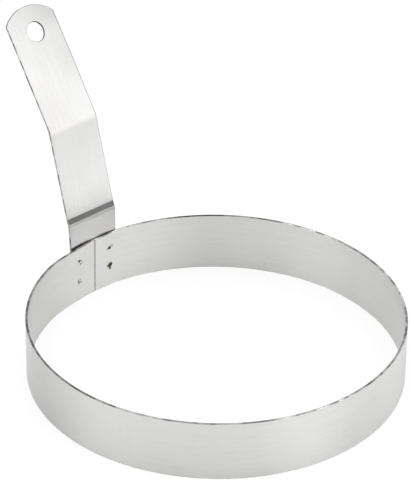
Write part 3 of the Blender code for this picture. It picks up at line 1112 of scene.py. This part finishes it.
def light_world(stage):
    """The surroundings, whose dark line only the metal sees."""
    world = bpy.data.worlds.new("studio")
    bpy.context.scene.world = world
    world.use_nodes = True
    tree = world.node_tree
    tree.nodes.clear()
    direction = wire(tree, "ShaderNodeTexCoord")
    parts = wire(tree, "ShaderNodeSeparateXYZ", {0: direction.outputs["Generated"]})
    height = spread(tree, parts.outputs["Z"], 0.0, 1.0, -1.0, 1.0)
    brightest = max(shade for level, shade in SKY)
    ramp = wire(tree, "ShaderNodeValToRGB", {"Fac": height})
    fill_ramp(ramp, [((level + 1) / 2, (shade / brightest,) * 3) for level, shade in SKY])
    path = wire(tree, "ShaderNodeLightPath")
    seen = wire(tree, "ShaderNodeBackground", {"Color": (1, 1, 1, 1), "Strength": 1.0})
    lit = wire(tree, "ShaderNodeBackground", {"Color": ramp.outputs["Color"],
                                              "Strength": stage.sky_strength * brightest})
    mixed = wire(tree, "ShaderNodeMixShader",
                 {0: path.outputs["Is Camera Ray"], 1: lit.outputs[0], 2: seen.outputs[0]})
    wire(tree, "ShaderNodeOutputWorld", {"Surface": mixed.outputs[0]})


def hang_soft_box(name, turn, lean, power, width, height):
    """A soft box a little above the table, aimed at the ring: its turn is to the right of the camera."""
    angle = bpy.context.scene.egg_ring_stage.camera_azimuth - math.pi / 2 + turn
    back = Vector((math.cos(angle) * math.cos(lean), math.sin(angle) * math.cos(lean), math.sin(lean)))
    deselect()
    bpy.ops.object.light_add(type="AREA", location=RING_AXIS + UP * LAMP_AIM + back * LAMP_DISTANCE)
    lamp = bpy.context.object
    lamp.name = lamp.data.name = name
    lamp.rotation_euler = back.to_track_quat("Z", "Y").to_euler()
    lamp.data.shape = "RECTANGLE"
    lamp.data.size = width
    lamp.data.size_y = height
    lamp.data.energy = power
    lamp.visible_camera = False


class EGGRING_OT_stage(bpy.types.Operator):
    """Set the floor, the light and the camera"""

    bl_idname = "egg_ring.stage"
    bl_label = "Stage"

    def execute(self, context):
        stage = context.scene.egg_ring_stage
        place_camera(stage)
        lay_floor(stage)
        light_world(stage)
        hang_soft_box("soft_box_right", turn=math.radians(90), lean=math.radians(22),
                      power=stage.right_power, width=1.5, height=0.3)
        hang_soft_box("soft_box_left", turn=math.radians(-90), lean=math.radians(19),
                      power=stage.left_power, width=0.9, height=0.35)
        context.scene.view_settings.view_transform = "Standard"
        return {"FINISHED"}


class EGGRING_OT_band(bpy.types.Operator):
    """Roll the band from its section, with its dishes, rims and seam"""

    bl_idname = "egg_ring.band"
    bl_label = "Band"

    def execute(self, context):
        sizes = context.scene.egg_ring_band
        colours = context.scene.egg_ring_colours
        band = roll_band(sizes)
        inside = RING_RADIUS - 0.75 * sizes.thickness
        refine_near_welds(band, lambda face: around(face.center)[1] < inside, reach=0.0026, cuts=4)
        press_dishes(band, sizes)
        paint(band, "weld_heat", lambda point: seam_heat(point, sizes))
        # Wear of the sheared rims, with painted highlights and painted shade.
        paint(band, "wear_and_painted_light", lambda point: rim_wear_and_painted_light(point, sizes))
        # Painted sheen along the band, standing in for its reflections.
        paint(band, "painted_sheen", lambda point: band_painted_sheen(point, sizes))
        grain_map(band, lambda point: (from_seam(around(point)[0], sizes), point.z))
        band.data.materials.append(satin_sheet("band_satin", colours.band, roughness=0.3))
        band.data.materials.append(sheared_edge("band_sheared_edge", colours.band_edge))
        for face in band.data.polygons:
            across_end = ACROSS.dot(face.normal) ** 2 > 0.9
            at_seam = across_end and off_seam(around(face.center)[0], sizes) < sizes.seam_gap
            at_rim = not sizes.edge_radius < face.center.z < sizes.height - sizes.edge_radius
            face.material_index = at_seam or at_rim
        ripple_sheet(band, sizes)
        smooth(band, math.radians(40))
        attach(band, BODY)
        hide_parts("ring_band")
        return {"FINISHED"}


class EGGRING_OT_handle(bpy.types.Operator):
    """Fold the handle from its strip, with its crown, hole, curled foot and weld marks"""

    bl_idname = "egg_ring.handle"
    bl_label = "Handle"

    def execute(self, context):
        sizes = context.scene.egg_ring_handle
        colours = context.scene.egg_ring_colours
        handle = fold_handle(sizes)
        refine_near_welds(handle, lambda face: on_foot_back(face.center, sizes), reach=0.0032, cuts=9)
        press_marks(handle, sizes)
        paint(handle, "weld_heat", lambda point: mark_heat(point, sizes))
        # Wear of the cut edge, with painted shade down the right side.
        paint(handle, "wear_and_painted_light", lambda point: edge_wear_and_painted_shade(point, sizes))
        # Painted shade at the crown's right and a painted highlight down the grip's left.
        paint(handle, "painted_sheen", lambda point: handle_painted_sheen(point, sizes))
        grain_map(handle, lambda point: (point.z, point.y))
        set_foot(handle, sizes)
        # Where the painted shade runs down the handle's right side.
        shaded_side = (sizes.width / 2 - sizes.edge_radius,
                  HANDLE_HIGH.z - sizes.grip_length * math.cos(sizes.grip_lean))
        satin = satin_sheet("handle_satin", colours.handle, roughness=0.21, shaded_side=shaded_side)
        handle.data.materials[0] = satin
        handle.data.materials[1] = sheared_edge("handle_eased_edge", colours.handle_edge)
        smooth(handle, math.radians(40))
        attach(handle, BODY)
        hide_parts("handle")
        return {"FINISHED"}


class EGGRING_OT_welds(bpy.types.Operator):
    """Strike the four spot welds, each with its own burnt scar"""

    bl_idname = "egg_ring.welds"
    bl_label = "Spot Welds"

    def execute(self, context):
        scene = context.scene
        burnt = burnt_weld("weld_burnt")
        for weld in WELDS:
            piece = strike_weld(weld, scene.egg_ring_welds, scene.egg_ring_band, scene.egg_ring_handle)
            piece.data.materials.clear()
            piece.data.materials.append(burnt)
            smooth(piece, math.radians(60))
            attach(piece, BODY)
            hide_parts("spot_weld_" + weld)
        return {"FINISHED"}


class EGGRING_PT_panel(bpy.types.Panel):
    """Egg ring pieces"""

    bl_label = "Egg Ring"
    bl_idname = "EGGRING_PT_panel"
    bl_space_type = "VIEW_3D"
    bl_region_type = "UI"
    bl_category = "Egg Ring"

    def draw(self, context):
        for operator in OPERATORS:
            self.layout.operator(operator.bl_idname)


GROUPS = {"egg_ring_band": BandSizes, "egg_ring_handle": HandleSizes, "egg_ring_welds": WeldSizes,
          "egg_ring_colours": SteelColours, "egg_ring_stage": StageSettings}
OPERATORS = (EGGRING_OT_stage, EGGRING_OT_band, EGGRING_OT_handle, EGGRING_OT_welds)


def register():
    for group in GROUPS.values():
        bpy.utils.register_class(group)
    for name, group in GROUPS.items():
        setattr(bpy.types.Scene, name, bpy.props.PointerProperty(type=group))
    for made in OPERATORS + (EGGRING_PT_panel,):
        bpy.utils.register_class(made)


def unregister():
    for made in (EGGRING_PT_panel,) + OPERATORS[::-1]:
        bpy.utils.unregister_class(made)
    for name, group in GROUPS.items():
        delattr(bpy.types.Scene, name)
        bpy.utils.unregister_class(group)


def main():
    register()
    bpy.ops.egg_ring.stage()
    bpy.ops.egg_ring.band()
    bpy.ops.egg_ring.handle()
    bpy.ops.egg_ring.welds()


if __name__ == "__main__":
    main()
